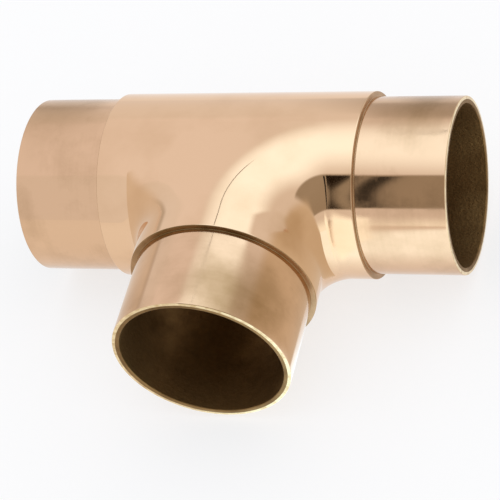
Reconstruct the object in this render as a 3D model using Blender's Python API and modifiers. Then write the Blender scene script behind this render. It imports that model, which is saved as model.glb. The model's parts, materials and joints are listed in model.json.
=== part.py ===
# Flush tee fitting for round brass tube.
# It is one casting: a run and a branch that cross at a right angle and blend where
# they meet, a thinner spigot on each of the three arms, and a bore through them all.
# Units are metres, +Z is up, and the tee lies flat with its branch along -Y.

from math import cos, pi, sin

import bmesh
import bpy
from mathutils import Matrix, Vector

# The tube that the tee joins, which the barrels match outside
TUBE_OUTSIDE_DIAMETER = 0.0508
TUBE_WALL = 0.00127

# The spigots, which slip into the tubes
SLIP_CLEARANCE = 0.0002
SPIGOT_LENGTH = 0.0246
SPIGOT_WALL = 0.0020

# The round in the crotch between the run and the branch, and the plain barrel beyond it
CROTCH_RADIUS = 0.0040
BARREL_LAND = 0.0066

# The small round on each turned edge
EDGE_ROUND = 0.0003
EDGE_ROUND_STEPS = 2

# How finely the round shapes are divided
SIDES_PER_QUARTER = 20
ELBOW_STEPS = 12

# How far the bore's cutter runs past each rim
CUTTER_OVERRUN = 0.004

# Worked out from the sizes above
BARREL_RADIUS = TUBE_OUTSIDE_DIAMETER / 2
SPIGOT_RADIUS = BARREL_RADIUS - TUBE_WALL - SLIP_CLEARANCE
BORE_RADIUS = SPIGOT_RADIUS - SPIGOT_WALL
ELBOW_BEND = BARREL_RADIUS + CROTCH_RADIUS
SHOULDER_REACH = ELBOW_BEND + BARREL_LAND
RIM_REACH = SHOULDER_REACH + SPIGOT_LENGTH

# The centre lines cross here. The origin is under the middle of the tee's box
CROSSING = Vector((0, (RIM_REACH - BARREL_RADIUS) / 2, BARREL_RADIUS))

OBJECT_NAME = "brass_tubing_tee"
MERGE_DISTANCE = 0.00001
SHARP_ANGLE = pi / 5


def clear_scene():
    for item in list(bpy.data.objects):
        bpy.data.objects.remove(item, do_unlink=True)


def new_collection(name):
    collection = bpy.data.collections.new(name)
    bpy.context.scene.collection.children.link(collection)
    return collection


def new_object(name, mesh, collection):
    mesh.shade_smooth()
    mesh.set_sharp_from_angle(angle=SHARP_ANGLE)
    item = bpy.data.objects.new(name, mesh)
    collection.objects.link(item)
    return item


def mesh_from(bm, name):
    mesh = bpy.data.meshes.new(name)
    bm.to_mesh(mesh)
    bm.free()
    return mesh


def use_as_cutter(item):
    item.hide_render = True
    item.display_type = "WIRE"


def combine(item, other, operation):
    boolean = item.modifiers.new(other.name, "BOOLEAN")
    boolean.operation = operation
    boolean.solver = "EXACT"
    boolean.object = other


def polished_brass():
    material = bpy.data.materials.new("polished_brass")
    material.use_nodes = True
    shader = material.node_tree.nodes["Principled BSDF"]
    shader.inputs["Base Color"].default_value = (0.79, 0.52, 0.29, 1)
    shader.inputs["Metallic"].default_value = 1
    shader.inputs["Roughness"].default_value = 0.12
    return material


# The skin of two equal barrels with a swept elbow in each corner between them.
# The elbow is the inner half of a bent tube as thick as the barrels. At the angle t
# from the top line its skin is a level arc from the run to the branch, round the
# point that both barrels' bend turns about. The arc on the top line is the widest,
# and a flat web fills the corner between it and the two top lines.


def elbow_arc(radius, t):
    arc_radius = ELBOW_BEND - radius * sin(t)
    points = []
    for step in range(ELBOW_STEPS + 1):
        turn = pi / 2 * step / ELBOW_STEPS
        x = ELBOW_BEND - arc_radius * sin(turn)
        y = arc_radius * cos(turn) - ELBOW_BEND
        points.append(Vector((x, y, radius * cos(t))))
    return points


def front_line(radius, reach, t):
    run_end = Vector((reach, -radius * sin(t), radius * cos(t)))
    branch_end = Vector((radius * sin(t), -reach, radius * cos(t)))
    return [run_end] + elbow_arc(radius, t) + [branch_end]


def back_line(radius, reach, t):
    return [Vector((x, radius * sin(t), radius * cos(t))) for x in (reach, ELBOW_BEND, 0)]


def span_lines(bm, first, second):
    for index in range(len(first) - 1):
        bm.faces.new([first[index], first[index + 1], second[index + 1], second[index]])


def quarter_skin(radius, reach):
    bm = bmesh.new()
    angles = [pi / 2 * side / SIDES_PER_QUARTER for side in range(SIDES_PER_QUARTER + 1)]
    front = [[bm.verts.new(p) for p in front_line(radius, reach, t)] for t in angles]
    for line, next_line in zip(front, front[1:]):
        span_lines(bm, line, next_line)

    # The web lies between the top line's arc and the point where the top lines cross
    top_middle = bm.verts.new((0, 0, radius))
    top_arc = front[0][1:-1]
    bm.faces.new([top_middle] + list(reversed(top_arc)))

    # The back has no branch, so its lines run straight from the run's end to its middle
    back = [front[0][:2] + [top_middle]]
    for t in angles[1:]:
        back.append([bm.verts.new(p) for p in back_line(radius, reach, t)])
    for line, next_line in zip(back, back[1:]):
        span_lines(bm, list(reversed(line)), list(reversed(next_line)))
    return bm


def tee_solid(name, radius, reach, collection):
    quarter = mesh_from(quarter_skin(radius, reach), name + "_quarter")
    skin = new_object(name + "_skin", quarter, collection)
    mirror = skin.modifiers.new("other three quarters", "MIRROR")
    mirror.use_axis = (True, False, True)
    mirror.merge_threshold = MERGE_DISTANCE

    # A flat face closes each of the skin's three open ends
    depsgraph = bpy.context.evaluated_depsgraph_get()
    whole = bpy.data.meshes.new_from_object(skin.evaluated_get(depsgraph))
    bm = bmesh.new()
    bm.from_mesh(whole)
    bmesh.ops.holes_fill(bm, edges=bm.edges, sides=0)
    bpy.data.objects.remove(skin, do_unlink=True)
    bpy.data.meshes.remove(whole)

    item = new_object(name, mesh_from(bm, name), collection)
    item.location = CROSSING
    return item


# A spigot starts as a solid round bar, from inside the barrel out to its rim


def spigot_solid(name, turn, collection):
    length = RIM_REACH - BORE_RADIUS
    bm = bmesh.new()
    bmesh.ops.create_cone(
        bm,
        cap_ends=True,
        segments=4 * SIDES_PER_QUARTER,
        radius1=SPIGOT_RADIUS,
        radius2=SPIGOT_RADIUS,
        depth=length,
    )
    item = new_object(name, mesh_from(bm, name), collection)
    middle = Matrix.Translation((0, 0, RIM_REACH - length / 2))
    item.matrix_world = Matrix.Translation(CROSSING) @ turn @ middle
    return item


def tee_body(parts, cutters):
    tee = tee_solid("tee_body", BARREL_RADIUS, SHOULDER_REACH, parts)

    arms = {
        "right_spigot": Matrix.Rotation(pi / 2, 4, "Y"),
        "left_spigot": Matrix.Rotation(-pi / 2, 4, "Y"),
        "branch_spigot": Matrix.Rotation(pi / 2, 4, "X"),
    }
    for name, turn in arms.items():
        spigot = spigot_solid(name, turn, cutters)
        use_as_cutter(spigot)
        combine(tee, spigot, "UNION")

    # The bore keeps one wall's distance from the outside, round the elbows as well
    bore = tee_solid("bore", BORE_RADIUS, RIM_REACH + CUTTER_OVERRUN, cutters)
    use_as_cutter(bore)
    combine(tee, bore, "DIFFERENCE")

    rounds = tee.modifiers.new("edge rounds", "BEVEL")
    rounds.width = EDGE_ROUND
    rounds.segments = EDGE_ROUND_STEPS
    rounds.limit_method = "ANGLE"
    rounds.angle_limit = pi / 3

    tee.data.materials.append(polished_brass())
    return tee


clear_scene()
tee_body(new_collection(OBJECT_NAME), new_collection("cutters"))
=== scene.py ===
import json
import math

import bpy
from mathutils import Matrix, Vector


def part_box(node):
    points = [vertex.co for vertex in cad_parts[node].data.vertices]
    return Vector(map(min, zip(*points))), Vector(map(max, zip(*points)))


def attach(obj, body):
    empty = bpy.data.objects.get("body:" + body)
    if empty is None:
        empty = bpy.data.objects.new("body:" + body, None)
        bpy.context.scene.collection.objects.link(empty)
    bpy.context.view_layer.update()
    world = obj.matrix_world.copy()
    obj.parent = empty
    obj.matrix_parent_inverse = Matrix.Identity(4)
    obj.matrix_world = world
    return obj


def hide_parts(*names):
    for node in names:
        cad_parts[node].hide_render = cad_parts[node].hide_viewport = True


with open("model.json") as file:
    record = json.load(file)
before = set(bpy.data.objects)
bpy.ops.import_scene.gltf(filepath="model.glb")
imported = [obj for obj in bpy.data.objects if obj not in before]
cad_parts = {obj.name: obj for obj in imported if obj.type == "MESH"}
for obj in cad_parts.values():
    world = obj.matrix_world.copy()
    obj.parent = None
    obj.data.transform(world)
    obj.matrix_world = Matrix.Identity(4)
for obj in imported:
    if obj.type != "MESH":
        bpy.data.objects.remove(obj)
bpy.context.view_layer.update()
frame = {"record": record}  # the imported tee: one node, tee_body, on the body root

mm = 0.001

# The centre lines cross under the run's top line, halfway along it
low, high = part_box("tee_body")
barrelRadius = (high.z - low.z) / 2
crossing = Vector(((low.x + high.x) / 2, high.y - barrelRadius, (low.z + high.z) / 2))
rimReach = high.x - crossing.x
mounts = {mount["name"]: mount for mount in frame["record"]["mounts"]}
shoulderReach = mounts["right_shoulder"]["pos_m"][0] - crossing.x


def toLinear(hexColour):
    channels = [int(hexColour[i:i + 2], 16) / 255 for i in (1, 3, 5)]
    red, green, blue = [c / 12.92 if c <= 0.04045 else ((c + 0.055) / 1.055) ** 2.4 for c in channels]
    return red, green, blue, 1


def plug(tree, socket, source):
    # a source is a node (its first output), a socket, a plain value, or a list for a joined input
    if isinstance(source, list):
        for each in source:
            plug(tree, socket, each)
    elif isinstance(source, bpy.types.Node):
        tree.links.new(source.outputs[0], socket)
    elif isinstance(source, bpy.types.NodeSocket):
        tree.links.new(source, socket)
    else:
        socket.default_value = source


def addNode(tree, kind, links=(), **settings):
    node = tree.nodes.new(kind)
    count = len(tree.nodes)
    node.location = (220 * (count % 9), -280 * (count // 9))  # in rows, so that the tree can be read
    for name, value in settings.items():
        setattr(node, name, value)
    for key, source in links.items() if isinstance(links, dict) else enumerate(links):
        plug(tree, node.inputs[key], source)
    return node


# Camera

cameraSettings = {
    "lens": 158.2,
    "sensor": 36,
    "clip": (0.01, 50),
    "azimuth": 29.43,
    "elevation": 46.69,
    "roll": -21.52,
    "distance": 604.95 * mm,
    "slideRight": -0.885 * mm,  # it slides in its own plane, so its shift stays 0
    "slideUp": -17.935 * mm,
}


def makeCamera(s):
    camera = bpy.data.objects.new("photoCamera", bpy.data.cameras.new("photoCamera"))
    bpy.context.scene.collection.objects.link(camera)
    camera.data.lens = s["lens"]
    camera.data.sensor_width = s["sensor"]
    camera.data.clip_start, camera.data.clip_end = s["clip"]
    turn = Matrix.Rotation(math.radians(s["azimuth"]), 4, "Z")
    tilt = Matrix.Rotation(math.radians(90 - s["elevation"]), 4, "X")
    roll = Matrix.Rotation(math.radians(s["roll"]), 4, "Z")
    place = Matrix.Translation((s["slideRight"], s["slideUp"], s["distance"]))
    camera.matrix_world = Matrix.Translation(crossing) @ turn @ tilt @ roll @ place
    bpy.context.scene.camera = camera


makeCamera(cameraSettings)
bpy.context.scene.view_settings.view_transform = "Standard"
print("camera placed")


# Studio: a pale floor in an even pale room, with a soft lamp overhead

studioSettings = {
    "room": "#f8f9fe",
    "roomLevel": 0.97,
    "floor": "#fbfbfb",
    "floorWhite": 0.7,  # the share of plain white that the camera and the metal see in it
    "floorRoughness": 0.9,
    "floorSize": 8.0,
    "lampPlace": (80, 60, 900),
    "lampSize": 700,
    "lampLevel": 0.4,
}


def whiteBoard(s):
    # matt board that takes the tee's shadow, and looks whiter to the camera and to the metal
    material = bpy.data.materials.new("matt white board")
    material.use_nodes = True
    tree = material.node_tree
    matt = tree.nodes["Principled BSDF"]
    matt.inputs["Base Color"].default_value = toLinear(s["floor"])
    matt.inputs["Roughness"].default_value = s["floorRoughness"]
    matt.inputs["Specular IOR Level"].default_value = 0
    ray = addNode(tree, "ShaderNodeLightPath").outputs
    seen = ray["Is Camera Ray"]
    for other in ("Is Glossy Ray", "Is Transmission Ray"):
        seen = addNode(tree, "ShaderNodeMath", [seen, ray[other]], operation="MAXIMUM")
    whiter = addNode(tree, "ShaderNodeMath", [seen, s["floorWhite"]], operation="MULTIPLY")
    white = addNode(tree, "ShaderNodeEmission", {"Color": (1, 1, 1, 1), "Strength": 1.0})
    both = addNode(tree, "ShaderNodeMixShader", [whiter, matt, white])
    plug(tree, tree.nodes["Material Output"].inputs["Surface"], both)
    return material


def makeRoom(s):
    world = bpy.data.worlds.new("room")
    bpy.context.scene.world = world
    world.use_nodes = True
    background = world.node_tree.nodes["Background"]
    background.inputs["Color"].default_value = toLinear(s["room"])
    background.inputs["Strength"].default_value = s["roomLevel"]

    half = s["floorSize"] / 2
    corners = [(-half, -half, 0), (half, -half, 0), (half, half, 0), (-half, half, 0)]
    mesh = bpy.data.meshes.new("floor")
    mesh.from_pydata(corners, [], [(0, 1, 2, 3)])
    floor = bpy.data.objects.new("floor", mesh)
    bpy.context.scene.collection.objects.link(floor)
    mesh.materials.append(whiteBoard(s))


def makeLamp(s):
    size = s["lampSize"] * mm
    light = bpy.data.lights.new("soft lamp", "AREA")
    light.size = size
    light.energy = s["lampLevel"] * math.pi * size ** 2  # its level is its power over pi and its area
    lamp = bpy.data.objects.new("soft lamp", light)
    bpy.context.scene.collection.objects.link(lamp)
    lamp.location = crossing + Vector(s["lampPlace"]) * mm
    lamp.visible_camera = False
    lamp.visible_glossy = False  # polished metal shows the cards instead


makeRoom(studioSettings)
makeLamp(studioSettings)
print("studio lit")


# Cards: plain sheets round the tee that only its reflections show, as round any polished metal in a
# studio.
# Places, sizes and fades are in mm from the crossing of the centre lines, a card lies flat at tilt 0 and
# stands at 90, and it fades out at its left, right, bottom and top edges. A one-sided card is seen from
# its front alone.
# The three small one-sided ones in the crotches are no studio light but painted reflection, glowing
# against the tee

cardSettings = {
    "soft panel": {
        "place": (38, 66, 298), "turn": -32.7, "tilt": 0, "size": (500, 545),
        "fade": (190, 180, 190, 70), "level": 1.9, "tint": "#e0f1ff",
    },
    "left flag": {
        "place": (-338, 95, 292), "turn": 0, "tilt": 0, "size": (500, 565),
        "fade": (100, 60, 30, 100), "level": 1.03, "tint": "#f8f8ff",
    },
    "thin rail": {
        "place": (-25.5, 152.5, 290), "turn": -6, "tilt": 0, "size": (5, 62),
        "fade": (1, 1, 12, 10), "level": 0.15, "tint": "#f0e0cc",
    },
    "front flag": {
        "place": (86, -280, 220), "turn": 0, "tilt": 32.5, "size": (403, 300),
        "fade": (22, 95, 20, 20), "level": 0.42, "tint": "#fff5e4",
    },
    "first post": {
        "place": (-83.5, -268.4, 214), "turn": -8, "tilt": 32.5, "size": (28.5, 268),
        "fade": (2, 1.5, 8, 14), "level": 0.02, "tint": "#ffd9b0",
    },
    "second post": {
        "place": (-57.2, -272, 214), "turn": -8, "tilt": 32.5, "size": (13, 268),
        "fade": (1.5, 4, 8, 14), "level": 0.0, "tint": "#ffd9b0",
    },
    # painted reflection: the next three glow right against the tee in its crotches, where the brass would
    # mirror itself
    "painted crotch reflection": {
        "place": (27, -47, 2), "turn": 90, "tilt": 90, "size": (36, 34),
        "fade": (2, 6, 6, 6), "level": 1.8, "tint": "#ecf9ff", "oneSided": True,
    },
    "painted crotch reflection's back": {
        "place": (26.8, -43, 4), "turn": -90, "tilt": 90, "size": (38, 44),
        "fade": (1, 8, 8, 8), "level": 0.76, "tint": "#fff4e2", "oneSided": True,
    },
    "left painted crotch reflection": {
        "place": (-27, -36, 1.5), "turn": 90, "tilt": 90, "size": (44, 47),
        "fade": (8, 1, 4, 5), "level": 0.82, "tint": "#fff7ee", "oneSided": True,
    },
    "low board": {
        "place": (190, -312, -24.8), "turn": 0, "tilt": 0, "size": (421, 586),
        "fade": (42, 150, 200, 36), "level": 1.9, "tint": "#e0f2ff",
    },
    "low front card": {
        "place": (125, -399, -5), "turn": 20, "tilt": 90, "size": (578, 216),
        "fade": (140, 130, 100, 120), "level": 1.65, "tint": "#ecf9ff",
    },
    "right card": {
        "place": (358, -36, -12), "turn": 100, "tilt": 90, "size": (350, 450),
        "fade": (70, 110, 100, 80), "level": 0.8, "tint": "#fffffb",
    },
    "left back card": {
        "place": (-274, 141, 31), "turn": 62, "tilt": 90, "size": (440, 98),
        "fade": (60, 60, 60, 40), "level": 0.56, "tint": "#fff9f0",
    },
    "back card": {
        "place": (-20, 330, 138), "turn": 0, "tilt": 90, "size": (169, 297),
        "fade": (67, 104, 42, 69), "level": 0.6, "tint": "#fffcfa",
    },
}


def cardMaterial(name, s):
    material = bpy.data.materials.new(name)
    material.use_nodes = True
    tree = material.node_tree
    tree.nodes.clear()
    place = addNode(tree, "ShaderNodeTexCoord").outputs["Object"]
    place = addNode(tree, "ShaderNodeSeparateXYZ", [place])
    wide, tall = (size * mm / 2 for size in s["size"])
    left, right, bottom, top = (fade * mm for fade in s["fade"])
    edges = [("X", -wide, left), ("X", wide, -right), ("Y", -tall, bottom), ("Y", tall, -top)]
    cover = 1.0
    for axis, edge, fade in edges:
        soft = addNode(tree, "ShaderNodeMapRange",
                       {"Value": place.outputs[axis], "From Min": edge, "From Max": edge + fade},
                       interpolation_type="SMOOTHSTEP")
        cover = addNode(tree, "ShaderNodeMath", [cover, soft], operation="MULTIPLY")
    if s.get("oneSided"):
        behind = addNode(tree, "ShaderNodeNewGeometry").outputs["Backfacing"]
        front = addNode(tree, "ShaderNodeMath", [1.0, behind], operation="SUBTRACT")
        cover = addNode(tree, "ShaderNodeMath", [cover, front], operation="MULTIPLY")
    glow = addNode(tree, "ShaderNodeEmission", {"Color": toLinear(s["tint"]), "Strength": s["level"]})
    clear = addNode(tree, "ShaderNodeBsdfTransparent")
    mixed = addNode(tree, "ShaderNodeMixShader", [cover, clear, glow])
    addNode(tree, "ShaderNodeOutputMaterial", [mixed])
    return material


def makeCard(name, s):
    wide, tall = (size * mm / 2 for size in s["size"])
    mesh = bpy.data.meshes.new(name)
    corners = [(-wide, -tall, 0), (wide, -tall, 0), (wide, tall, 0), (-wide, tall, 0)]
    mesh.from_pydata(corners, [], [(0, 1, 2, 3)])
    mesh.materials.append(cardMaterial(name, s))
    card = bpy.data.objects.new(name, mesh)
    bpy.context.scene.collection.objects.link(card)
    turn = Matrix.Rotation(math.radians(s["turn"]), 4, "Z")
    tilt = Matrix.Rotation(math.radians(s["tilt"]), 4, "X")
    card.matrix_world = Matrix.Translation(crossing + Vector(s["place"]) * mm) @ turn @ tilt
    card.visible_camera = False
    card.visible_diffuse = False
    card.visible_transmission = False
    card.visible_shadow = False


for name, settings in cardSettings.items():
    makeCard(name, settings)
print("cards hung:", len(cardSettings))


# Brass finishes

def startMaterial(name):
    material = bpy.data.materials.new(name)
    material.use_nodes = True
    tree = material.node_tree
    return material, tree, tree.nodes["Principled BSDF"]


def placeFromCrossing(tree):
    # object coordinates, moved so that they start where the centre lines cross
    return addNode(tree, "ShaderNodeMapping", {
        "Vector": addNode(tree, "ShaderNodeTexCoord").outputs["Object"],
        "Location": -crossing,
    })


# Soft marks on top of the tarnish, the two on the branch spigot's top being painted shade: each has a
# place and a radius in mm from the crossing, and its depth. A noise pulls their outlines about, so that
# none is round
markSettings = {
    "wobble": 9 * mm,
    "pull": 12 * mm,
}


def addMarks(tree, place, marks, tarnish, s=markSettings):
    vector = "ShaderNodeVectorMath"
    noise = addNode(tree, "ShaderNodeTexNoise", {
        "Vector": place, "Scale": 1 / s["wobble"], "Detail": 3.0,
    })
    pull = addNode(tree, vector, [noise.outputs["Color"], (0.5, 0.5, 0.5)], operation="SUBTRACT")
    pulled = addNode(tree, vector, [pull, (s["pull"], s["pull"], s["pull"]), place],
                     operation="MULTIPLY_ADD")
    for centre, radius, depth in marks:
        away = addNode(tree, vector, [pulled, tuple(c * mm for c in centre)], operation="DISTANCE")
        mark = addNode(tree, "ShaderNodeMapRange", {
            "Value": away.outputs["Value"], "From Min": radius * mm, "From Max": 0.0,
            "To Min": 0.0, "To Max": depth,
        }, interpolation_type="SMOOTHSTEP")
        tarnish = addNode(tree, "ShaderNodeMath", [tarnish, mark], operation="ADD")
    return tarnish


def sidewaysFrom(tree, place):
    # how far a point lies to the left or right of the branch's centre line
    split = addNode(tree, "ShaderNodeSeparateXYZ", [place])
    return addNode(tree, "ShaderNodeMath", [split.outputs["X"]], operation="ABSOLUTE")


# Cast brass, buffed by hand: it mirrors like a wavy glass, because the buff dips over the casting,
# and thin tarnish and wipe marks dull it in soft patches
polishedSettings = {
    "clean": "#e6c09b",
    "tarnish": "#b98f63",
    "patch": 22 * mm,
    "patchDepth": 0.35,
    "wave": 14 * mm,
    "waveDepth": 0.03 * mm,
    "roughness": (0.03, 0.1),
    "marks": [
        ((21, -30, 15), 8, 0.35),
        ((21, -25, 15), 6, 0.25),
    ],
}


def polishedBrass(s):
    material, tree, shader = startMaterial("buffed cast brass")
    place = placeFromCrossing(tree)
    patches = addNode(tree, "ShaderNodeTexNoise", {
        "Vector": place, "Scale": 1 / s["patch"], "Detail": 4.0, "Roughness": 0.55,
    })
    tarnish = addNode(tree, "ShaderNodeMapRange", {
        "Value": patches, "From Min": 0.45, "From Max": 0.8, "To Min": 0.0, "To Max": s["patchDepth"],
    })
    tarnish = addMarks(tree, place, s["marks"], tarnish)
    colour = addNode(tree, "ShaderNodeMix", {
        "Factor": tarnish, 6: toLinear(s["clean"]), 7: toLinear(s["tarnish"]),
    }, data_type="RGBA")
    dull = addNode(tree, "ShaderNodeMapRange", {
        "Value": tarnish, "From Max": 0.4, "To Min": s["roughness"][0], "To Max": s["roughness"][1],
    })
    waves = addNode(tree, "ShaderNodeTexNoise", {"Vector": place, "Scale": 1 / s["wave"], "Detail": 1.0})
    bump = addNode(tree, "ShaderNodeBump", {"Strength": 1.0, "Distance": s["waveDepth"], "Height": waves})
    plug(tree, shader.inputs["Base Color"], colour.outputs[2])
    plug(tree, shader.inputs["Roughness"], dull)
    plug(tree, shader.inputs["Normal"], bump)
    shader.inputs["Metallic"].default_value = 1
    return material


# Turned brass: the tool leaves fine rings round the spigot, so reflections smear along the arm.
# The rings are a feed of 0.2 mm on the real one, and are drawn five times as coarse to show
turnedSettings = {
    "clean": "#ddb692",
    "tarnish": "#a98660",
    "ring": 1.0 * mm,
    "ringDepth": 0.0004 * mm,
    "ringTarnish": 0.08,
    "patch": 15 * mm,
    "patchDepth": 0.5,
    "roughness": (0.06, 0.24),
    "smear": 0.5,
    "runFrom": 30 * mm,  # further than this from the branch's centre line, a spigot is the run's
    "marks": [
        ((51, 12, 21), 22, 0.75),
        ((-53, 10, 21), 22, 0.7),
        # painted shade: the next two darken and dull the branch spigot's top to dim its highlight
        ((13, -55, 20), 19, 0.9),
        ((20, -48, 13), 10, 0.4),
        ((-15, -56, 18), 10, 0.3),
    ],
}


def turnedBrass(s):
    material, tree, shader = startMaterial("turned brass")
    plain = "ShaderNodeMath"
    place = placeFromCrossing(tree)
    along = addNode(tree, "ShaderNodeAttribute", attribute_name="Along Arm")
    turns = addNode(tree, plain, [along.outputs["Fac"], 1 / s["ring"]], operation="MULTIPLY")
    uneven = addNode(tree, "ShaderNodeTexNoise", {"W": turns, "Scale": 1.0, "Detail": 2.0},
                     noise_dimensions="1D")
    patches = addNode(tree, "ShaderNodeTexNoise", {
        "Vector": place, "Scale": 1 / s["patch"], "Detail": 5.0, "Roughness": 0.6,
    })
    worn = addNode(tree, plain, [uneven, s["ringTarnish"], patches], operation="MULTIPLY_ADD")
    tarnish = addNode(tree, "ShaderNodeMapRange", {
        "Value": worn, "From Min": 0.48, "From Max": 0.85, "To Min": 0.0, "To Max": s["patchDepth"],
    })
    # from here the tarnish also carries the painted shade of the two marks on the branch spigot's top
    tarnish = addMarks(tree, place, s["marks"], tarnish)
    colour = addNode(tree, "ShaderNodeMix", {
        "Factor": tarnish, 6: toLinear(s["clean"]), 7: toLinear(s["tarnish"]),
    }, data_type="RGBA")
    dull = addNode(tree, "ShaderNodeMapRange", {
        "Value": tarnish, "From Max": 0.6, "To Min": s["roughness"][0], "To Max": s["roughness"][1],
    })
    rings = addNode(tree, "ShaderNodeBump", {
        "Strength": 1.0, "Distance": s["ringDepth"], "Height": uneven,
    })

    # The smear runs along the arm: along X on the run's ends, and along Y on the branch
    onRun = addNode(tree, plain, [sidewaysFrom(tree, place), s["runFrom"]], operation="GREATER_THAN")
    armAxis = addNode(tree, "ShaderNodeMix", {"Factor": onRun, 4: (0, 1, 0), 5: (1, 0, 0)},
                      data_type="VECTOR")
    plug(tree, shader.inputs["Base Color"], colour.outputs[2])
    plug(tree, shader.inputs["Roughness"], dull)
    plug(tree, shader.inputs["Normal"], rings)
    plug(tree, shader.inputs["Tangent"], armAxis.outputs[1])
    shader.inputs["Anisotropic"].default_value = s["smear"]
    shader.inputs["Metallic"].default_value = 1
    return material


# Faced brass: the cut end of a spigot, bright from the tool and lightly scratched
facedSettings = {
    "bright": "#f0d9ac",
    "worn": "#c9a877",
    "scratch": 1.5 * mm,
    "roughness": 0.24,
}


def facedBrass(s):
    material, tree, shader = startMaterial("faced brass")
    place = placeFromCrossing(tree)
    scratches = addNode(tree, "ShaderNodeTexNoise", {
        "Vector": place, "Scale": 1 / s["scratch"], "Detail": 3.0,
    })
    worn = addNode(tree, "ShaderNodeMapRange", {"Value": scratches, "From Min": 0.4, "From Max": 0.75})
    colour = addNode(tree, "ShaderNodeMix", {
        "Factor": worn, 6: toLinear(s["bright"]), 7: toLinear(s["worn"]),
    }, data_type="RGBA")
    plug(tree, shader.inputs["Base Color"], colour.outputs[2])
    shader.inputs["Roughness"].default_value = s["roughness"]
    shader.inputs["Metallic"].default_value = 1
    return material


# Tarnished brass: polish and dirt dry in the corner of a shoulder and turn it brown. The branch's
# shoulder is brown on top and wiped cleaner at its sides, and the run's are wiped as well
tarnishedSettings = {
    "brown": "#80653f",
    "clean": "#cfa982",
    "patch": 5 * mm,
    "patchDepth": 0.6,
    "wipedAcross": (12 * mm, 24 * mm),
    "wiped": (0.05, 0.5),
    "roughness": 0.42,
}


def tarnishedBrass(s):
    material, tree, shader = startMaterial("tarnished brass")
    place = placeFromCrossing(tree)
    patches = addNode(tree, "ShaderNodeTexNoise", {
        "Vector": place, "Scale": 1 / s["patch"], "Detail": 3.0,
    })
    wiped = addNode(tree, "ShaderNodeMapRange", {
        "Value": sidewaysFrom(tree, place),
        "From Min": s["wipedAcross"][0], "From Max": s["wipedAcross"][1],
        "To Min": s["wiped"][0], "To Max": s["wiped"][1],
    })
    bare = addNode(tree, "ShaderNodeMath", [patches, s["patchDepth"], wiped], operation="MULTIPLY_ADD")
    bare = addNode(tree, "ShaderNodeMapRange", {"Value": bare, "From Min": 0.3, "From Max": 1.1})
    colour = addNode(tree, "ShaderNodeMix", {
        "Factor": bare, 6: toLinear(s["brown"]), 7: toLinear(s["clean"]),
    }, data_type="RGBA")
    plug(tree, shader.inputs["Base Color"], colour.outputs[2])
    shader.inputs["Roughness"].default_value = s["roughness"]
    shader.inputs["Metallic"].default_value = 1
    return material


# Brass as cast in the cored bore: brown and dull, with the grain of the core sand
castSettings = {
    "brown": "#765834",
    "lighter": "#a27f50",
    "grain": 0.9 * mm,
    "grainDepth": 0.12 * mm,
    "patch": 11 * mm,
    "roughness": (0.42, 0.62),
}


def castBrass(s):
    material, tree, shader = startMaterial("cast brass")
    place = placeFromCrossing(tree)
    patches = addNode(tree, "ShaderNodeTexNoise", {
        "Vector": place, "Scale": 1 / s["patch"], "Detail": 6.0, "Roughness": 0.65,
    })
    lighter = addNode(tree, "ShaderNodeMapRange", {"Value": patches, "From Min": 0.35, "From Max": 0.75})
    colour = addNode(tree, "ShaderNodeMix", {
        "Factor": lighter, 6: toLinear(s["brown"]), 7: toLinear(s["lighter"]),
    }, data_type="RGBA")
    dull = addNode(tree, "ShaderNodeMapRange", {
        "Value": patches, "From Min": 0.35, "From Max": 0.75,
        "To Min": s["roughness"][1], "To Max": s["roughness"][0],
    })
    sand = addNode(tree, "ShaderNodeTexNoise", {"Vector": place, "Scale": 1 / s["grain"], "Detail": 2.0})
    bump = addNode(tree, "ShaderNodeBump", {"Strength": 1.0, "Distance": s["grainDepth"], "Height": sand})
    plug(tree, shader.inputs["Base Color"], colour.outputs[2])
    plug(tree, shader.inputs["Roughness"], dull)
    plug(tree, shader.inputs["Normal"], bump)
    shader.inputs["Metallic"].default_value = 1
    return material


finishes = [
    polishedBrass(polishedSettings),
    castBrass(castSettings),
    turnedBrass(turnedSettings),
    facedBrass(facedSettings),
    tarnishedBrass(tarnishedSettings),
]
print("brass finishes made")


# Tee: its skin follows a rule, so Geometry Nodes make it. A swept elbow, the inner half of a bent
# tube as thick as the barrels, fills each corner between the run and the branch, and a flat web
# fills the top and bottom between the elbows and the straight barrels

teeSettings = {
    "Barrel Radius": barrelRadius,
    "Spigot Radius": 23.93 * mm,
    "Bore Radius": 21.93 * mm,
    "Elbow Bend": barrelRadius + 4 * mm,  # a round of 4 mm in the crotch
    "Shoulder Reach": shoulderReach,
    "Rim Reach": rimReach,
    "Edge Round": 0.3 * mm,
    "Half Turn Sides": 96,
    "Elbow Steps": 48,
    "Land Rows": 6,
    "Web Rows": 8,
}
mergeDistance = 0.0001 * mm


def startTree(name, inputs):
    tree = bpy.data.node_groups.new(name, "GeometryNodeTree")
    for label, kind in inputs.items():
        tree.interface.new_socket(label, in_out="INPUT", socket_type="NodeSocket" + kind)
    tree.interface.new_socket("Mesh", in_out="OUTPUT", socket_type="NodeSocketGeometry")
    return tree, addNode(tree, "NodeGroupInput").outputs


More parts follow.
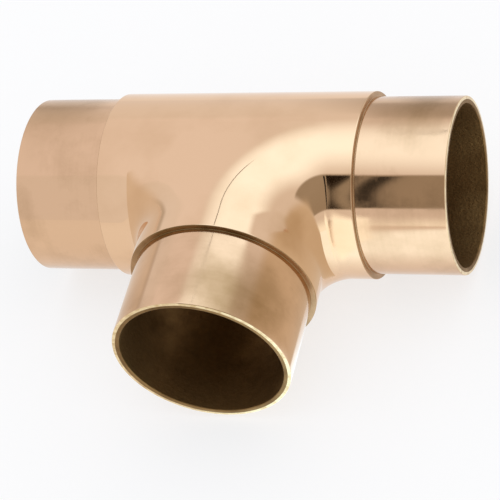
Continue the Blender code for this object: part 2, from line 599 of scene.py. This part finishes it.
def teeSkinTree():
    tree, given = startTree("tee skin", {
        "Radius": "Float", "Bend": "Float", "Reach": "Float",
        "Sides": "Int", "Elbow Steps": "Int", "Land Rows": "Int", "Web Rows": "Int",
    })
    radius, bend, reach = given["Radius"], given["Bend"], given["Reach"]
    sides, steps, land, web = given["Sides"], given["Elbow Steps"], given["Land Rows"], given["Web Rows"]
    plain = "ShaderNodeMath"

    # The front right piece is a grid. Its columns go round from the top line to the bottom line,
    # and its rows go from the run's end round the elbow to the branch's end
    elbowEnd = addNode(tree, plain, [land, steps], operation="ADD")
    rows = addNode(tree, plain, [elbowEnd, land], operation="ADD")
    grid = addNode(tree, "GeometryNodeMeshGrid", {
        "Size X": rows,
        "Size Y": sides,
        "Vertices X": addNode(tree, plain, [rows, 1.0], operation="ADD"),
        "Vertices Y": addNode(tree, plain, [sides, 1.0], operation="ADD"),
    })
    place = addNode(tree, "ShaderNodeSeparateXYZ", [addNode(tree, "GeometryNodeInputPosition")])
    row = addNode(tree, plain, [rows, 0.5, place.outputs["X"]], operation="MULTIPLY_ADD")
    side = addNode(tree, plain, [sides, 0.5, place.outputs["Y"]], operation="MULTIPLY_ADD")
    turned = addNode(tree, plain, [side, sides], operation="DIVIDE")
    angle = addNode(tree, plain, [turned, math.pi], operation="MULTIPLY")
    across = addNode(tree, plain, [radius, addNode(tree, plain, [angle], operation="SINE")],
                     operation="MULTIPLY")
    height = addNode(tree, plain, [radius, addNode(tree, plain, [angle], operation="COSINE")],
                     operation="MULTIPLY")

    # A column's elbow is a level arc round the point that the bend turns about, and its rows past
    # the arc run straight to the ends of the run and the branch
    heading = addNode(tree, "ShaderNodeMapRange", {
        "Value": row, "From Min": land, "From Max": elbowEnd, "To Max": math.pi / 2,
    })
    arcRadius = addNode(tree, plain, [bend, across], operation="SUBTRACT")
    landLength = addNode(tree, plain, [reach, bend], operation="SUBTRACT")
    runPull = addNode(tree, "ShaderNodeMapRange", {
        "Value": row, "From Min": land, "From Max": 0.0, "To Min": bend, "To Max": reach,
    })
    branchPull = addNode(tree, "ShaderNodeMapRange", {
        "Value": row, "From Min": elbowEnd, "From Max": rows, "To Min": bend, "To Max": reach,
    })
    sine = addNode(tree, plain, [heading], operation="SINE")
    cosine = addNode(tree, plain, [heading], operation="COSINE")
    inX = addNode(tree, plain, [arcRadius, sine], operation="MULTIPLY")
    inY = addNode(tree, plain, [arcRadius, cosine], operation="MULTIPLY")
    onTee = addNode(tree, "ShaderNodeCombineXYZ", [
        addNode(tree, plain, [runPull, inX], operation="SUBTRACT"),
        addNode(tree, plain, [inY, branchPull], operation="SUBTRACT"),
        height,
    ])
    right = addNode(tree, "GeometryNodeSetPosition", {"Geometry": grid, "Position": onTee})

    # The flat web narrows from the top line's arc to the point where the top lines cross
    webGrid = addNode(tree, "GeometryNodeMeshGrid", {
        "Size X": steps,
        "Size Y": 1.0,
        "Vertices X": addNode(tree, plain, [steps, 1.0], operation="ADD"),
        "Vertices Y": addNode(tree, plain, [web, 1.0], operation="ADD"),
    })
    along = addNode(tree, plain, [place.outputs["X"], steps], operation="DIVIDE")
    along = addNode(tree, plain, [along, 0.5], operation="ADD")
    heading = addNode(tree, plain, [along, math.pi / 2], operation="MULTIPLY")
    fromMiddle = addNode(tree, plain, [0.5, place.outputs["Y"]], operation="SUBTRACT")
    narrowed = addNode(tree, plain, [bend, fromMiddle], operation="MULTIPLY")
    sine = addNode(tree, plain, [heading], operation="SINE")
    cosine = addNode(tree, plain, [heading], operation="COSINE")
    sideways = addNode(tree, plain, [1.0, sine], operation="SUBTRACT")
    forwards = addNode(tree, plain, [cosine, 1.0], operation="SUBTRACT")
    webPlace = addNode(tree, "ShaderNodeCombineXYZ", [
        addNode(tree, plain, [narrowed, sideways], operation="MULTIPLY"),
        addNode(tree, plain, [narrowed, forwards], operation="MULTIPLY"),
        radius,
    ])
    topWeb = addNode(tree, "GeometryNodeSetPosition", {"Geometry": webGrid, "Position": webPlace})
    topWeb = addNode(tree, "GeometryNodeFlipFaces", {"Mesh": topWeb})
    bottomWeb = addNode(tree, "GeometryNodeTransform", {"Geometry": topWeb, "Scale": (1, 1, -1)})
    bottomWeb = addNode(tree, "GeometryNodeFlipFaces", {"Mesh": bottomWeb})
    right = addNode(tree, "GeometryNodeJoinGeometry", [[right, topWeb, bottomWeb]])
    left = addNode(tree, "GeometryNodeTransform", {"Geometry": right, "Scale": (-1, 1, 1)})
    left = addNode(tree, "GeometryNodeFlipFaces", {"Mesh": left})

    # The back is half a barrel, with its rows where the front and the web have them
    half = addNode(tree, plain, [land, web], operation="ADD")
    backRows = addNode(tree, plain, [half, 2.0], operation="MULTIPLY")
    backGrid = addNode(tree, "GeometryNodeMeshGrid", {
        "Size X": backRows,
        "Size Y": sides,
        "Vertices X": addNode(tree, plain, [backRows, 1.0], operation="ADD"),
        "Vertices Y": addNode(tree, plain, [sides, 1.0], operation="ADD"),
    })
    size = addNode(tree, plain, [place.outputs["X"]], operation="ABSOLUTE")
    within = addNode(tree, "ShaderNodeMapRange", {"Value": size, "From Max": web, "To Max": bend})
    past = addNode(tree, "ShaderNodeMapRange", {
        "Value": size, "From Min": web, "From Max": half, "To Max": landLength,
    })
    reached = addNode(tree, plain, [within, past], operation="ADD")
    sign = addNode(tree, plain, [place.outputs["X"]], operation="SIGN")
    reached = addNode(tree, plain, [reached, sign], operation="MULTIPLY")
    backPlace = addNode(tree, "ShaderNodeCombineXYZ", [reached, across, height])
    back = addNode(tree, "GeometryNodeSetPosition", {"Geometry": backGrid, "Position": backPlace})

    whole = addNode(tree, "GeometryNodeJoinGeometry", [[right, left, back]])
    addNode(tree, "NodeGroupOutput", [whole])
    return tree


def turnedEndTree():
    tree, given = startTree("turned end", {
        "Barrel Radius": "Float", "Spigot Radius": "Float", "Bore Radius": "Float",
        "Shoulder Reach": "Float", "Rim Reach": "Float", "Edge Round": "Float", "Sides": "Int",
    })
    barrel, spigot, bore = given["Barrel Radius"], given["Spigot Radius"], given["Bore Radius"]
    shoulder, rim, edge = given["Shoulder Reach"], given["Rim Reach"], given["Edge Round"]
    plain = "ShaderNodeMath"

    # Each point of the turned profile: a radius and a reach, each with a step in edge rounds,
    # and the point's own round. The points beside a round keep its neighbours flat
    profile = [
        (barrel, 0, shoulder, -1.5, 0),
        (barrel, 0, shoulder, 0, 1),
        (barrel, -1.5, shoulder, 0, 0),
        (spigot, 1, shoulder, 0, 0),
        (spigot, 0, shoulder, 0, 0.5),
        (spigot, 0, shoulder, 1, 0),
        (spigot, 0, rim, -1.5, 0),
        (spigot, 0, rim, 0, 1),
        (spigot, -1.5, rim, 0, 0),
        (spigot, -3, rim, 0, 0),
        (bore, 1.5, rim, 0, 0),
        (bore, 0, rim, 0, 1),
        (bore, 0, rim, -1.5, 0),
        (bore, 0, shoulder, 0, 0),
    ]
    index = addNode(tree, "GeometryNodeInputIndex")
    columns = []
    for column in zip(*profile):
        switch = addNode(tree, "GeometryNodeIndexSwitch", {"Index": index}, data_type="FLOAT")
        for _ in column[2:]:
            switch.index_switch_items.new()
        for number, value in enumerate(column):
            plug(tree, switch.inputs[1 + number], value)
        columns.append(switch)
    radius = addNode(tree, plain, [columns[1], edge, columns[0]], operation="MULTIPLY_ADD")
    reach = addNode(tree, plain, [columns[3], edge, columns[2]], operation="MULTIPLY_ADD")
    corner = addNode(tree, plain, [columns[4], edge], operation="MULTIPLY")

    # The profile is swept round a circle, so it is drawn outwards and down from that circle
    points = addNode(tree, "GeometryNodeMeshLine", {"Count": len(profile)})
    drawn = addNode(tree, "ShaderNodeCombineXYZ", [
        addNode(tree, plain, [radius, barrel], operation="SUBTRACT"),
        addNode(tree, plain, [reach, -1.0], operation="MULTIPLY"),
    ])
    line = addNode(tree, "GeometryNodeSetPosition", {"Geometry": points, "Position": drawn})
    line = addNode(tree, "GeometryNodeMeshToCurve", [line])
    line = addNode(tree, "GeometryNodeFilletCurve", {
        "Curve": line, "Count": 6, "Radius": corner,
    }, mode="POLY")
    circle = addNode(tree, "GeometryNodeCurvePrimitiveCircle", {
        "Resolution": given["Sides"], "Radius": barrel,
    })
    end = addNode(tree, "GeometryNodeCurveToMesh", {"Curve": circle, "Profile Curve": line})
    end = addNode(tree, "GeometryNodeFlipFaces", {"Mesh": end})

    # Each face keeps the number of its finish: 0 barrel, 1 bore, 2 spigot, 3 rim, 4 shoulder
    place = addNode(tree, "ShaderNodeSeparateXYZ", [addNode(tree, "GeometryNodeInputPosition")])
    faces = addNode(tree, "ShaderNodeSeparateXYZ", [addNode(tree, "GeometryNodeInputNormal")])
    squaredX = addNode(tree, plain, [place.outputs["X"], 2.0], operation="POWER")
    squaredY = addNode(tree, plain, [place.outputs["Y"], 2.0], operation="POWER")
    distance = addNode(tree, plain, [squaredX, squaredY], operation="ADD")
    distance = addNode(tree, plain, [distance], operation="SQRT")
    faceDepth = addNode(tree, plain, [edge, -3.0, spigot], operation="MULTIPLY_ADD")  # cast past this
    inside = addNode(tree, plain, [distance, faceDepth], operation="LESS_THAN")
    step = addNode(tree, plain, [edge, 1.2, shoulder], operation="MULTIPLY_ADD")
    beyond = addNode(tree, plain, [place.outputs["Z"], step], operation="GREATER_THAN")
    faced = addNode(tree, plain, [faces.outputs["Z"], 0.7], operation="GREATER_THAN")
    corner = addNode(tree, plain, [edge, -0.5, shoulder], operation="MULTIPLY_ADD")
    corner = addNode(tree, plain, [place.outputs["Z"], corner], operation="GREATER_THAN")
    finish = addNode(tree, "GeometryNodeSwitch", [corner, 0, 4], input_type="INT")
    turned = addNode(tree, "GeometryNodeSwitch", [faced, 2, 3], input_type="INT")
    finish = addNode(tree, "GeometryNodeSwitch", [beyond, finish, turned], input_type="INT")
    finish = addNode(tree, "GeometryNodeSwitch", [inside, finish, 1], input_type="INT")
    end = addNode(tree, "GeometryNodeStoreNamedAttribute", {
        "Geometry": end, "Name": "Finish", "Value": finish,
    }, data_type="INT", domain="FACE")
    end = addNode(tree, "GeometryNodeStoreNamedAttribute", {
        "Geometry": end, "Name": "Along Arm", "Value": place.outputs["Z"],
    }, data_type="FLOAT")
    addNode(tree, "NodeGroupOutput", [end])
    return tree


def flushTeeTree(finishes):
    tree, given = startTree("flush tee", {
        "Barrel Radius": "Float", "Spigot Radius": "Float", "Bore Radius": "Float", "Elbow Bend": "Float",
        "Shoulder Reach": "Float", "Rim Reach": "Float", "Edge Round": "Float",
        "Half Turn Sides": "Int", "Elbow Steps": "Int", "Land Rows": "Int", "Web Rows": "Int",
    })
    plain = "ShaderNodeMath"
    shared = {"Bend": given["Elbow Bend"], "Sides": given["Half Turn Sides"]}
    for name in ("Elbow Steps", "Land Rows", "Web Rows"):
        shared[name] = given[name]
    skinTree = teeSkinTree()
    outerReach = addNode(tree, plain, [given["Edge Round"], -1.5, given["Shoulder Reach"]],
                         operation="MULTIPLY_ADD")
    outside = addNode(tree, "GeometryNodeGroup", {
        "Radius": given["Barrel Radius"], "Reach": outerReach, **shared,
    }, node_tree=skinTree)

    # The bore keeps one wall's distance from the outside, round the elbows as well
    inside = addNode(tree, "GeometryNodeGroup", {
        "Radius": given["Bore Radius"], "Reach": given["Shoulder Reach"], **shared,
    }, node_tree=skinTree)
    inside = addNode(tree, "GeometryNodeFlipFaces", {"Mesh": inside})
    inside = addNode(tree, "GeometryNodeStoreNamedAttribute", {
        "Geometry": inside, "Name": "Finish", "Value": 1,
    }, data_type="INT", domain="FACE")

    # The same turned end on each of the three arms, a quarter turn apart
    wholeTurn = addNode(tree, plain, [given["Half Turn Sides"], 2.0], operation="MULTIPLY")
    end = addNode(tree, "GeometryNodeGroup", {
        name: given[name] for name in
        ("Barrel Radius", "Spigot Radius", "Bore Radius", "Shoulder Reach", "Rim Reach", "Edge Round")
    }, node_tree=turnedEndTree())
    plug(tree, end.inputs["Sides"], wholeTurn)
    arms = addNode(tree, "GeometryNodeMeshLine", {"Count": 3, "Offset": (0, 0, 0)})
    number = addNode(tree, "GeometryNodeInputIndex")
    heading = addNode(tree, plain, [number, -math.pi / 2], operation="MULTIPLY")
    turn = addNode(tree, "ShaderNodeCombineXYZ", [0.0, math.pi / 2, heading])
    ends = addNode(tree, "GeometryNodeInstanceOnPoints", {
        "Points": arms, "Instance": end, "Rotation": turn,
    })

    tee = addNode(tree, "GeometryNodeJoinGeometry", [[outside, inside, ends]])
    tee = addNode(tree, "GeometryNodeRealizeInstances", [tee])
    tee = addNode(tree, "GeometryNodeMergeByDistance", {"Geometry": tee, "Distance": mergeDistance})
    tee = addNode(tree, "GeometryNodeSetShadeSmooth", {"Geometry": tee, "Shade Smooth": True})
    number = addNode(tree, "GeometryNodeInputNamedAttribute", ["Finish"], data_type="INT")
    for index, material in enumerate(finishes):
        chosen = addNode(tree, "FunctionNodeCompare", {2: number, 3: index},
                         data_type="INT", operation="EQUAL")
        tee = addNode(tree, "GeometryNodeSetMaterial", {
            "Geometry": tee, "Selection": chosen, "Material": material,
        })
    addNode(tree, "NodeGroupOutput", [tee])
    return tree


def makeTee(name, settings, finishes):
    tree = flushTeeTree(finishes)
    builder = bpy.data.objects.new("builder", bpy.data.meshes.new("builder"))
    bpy.context.scene.collection.objects.link(builder)
    modifier = builder.modifiers.new("flush tee", "NODES")
    modifier.node_group = tree
    for item in tree.interface.items_tree:
        if item.in_out == "INPUT":
            modifier[item.identifier] = settings[item.name]
    evaluated = builder.evaluated_get(bpy.context.evaluated_depsgraph_get())
    mesh = bpy.data.meshes.new_from_object(evaluated)
    bpy.data.objects.remove(builder, do_unlink=True)
    mesh.name = name
    mesh.materials.pop(index=0)  # the join leaves an empty slot before the finishes
    mesh.transform(Matrix.Translation(crossing))  # the object itself stays at the origin
    tee = bpy.data.objects.new(name, mesh)
    bpy.context.scene.collection.objects.link(tee)
    return tee


tee = makeTee("brass_tee", teeSettings, finishes)
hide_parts("tee_body")
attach(tee, "root")
print("tee made with", len(tee.data.polygons), "faces")
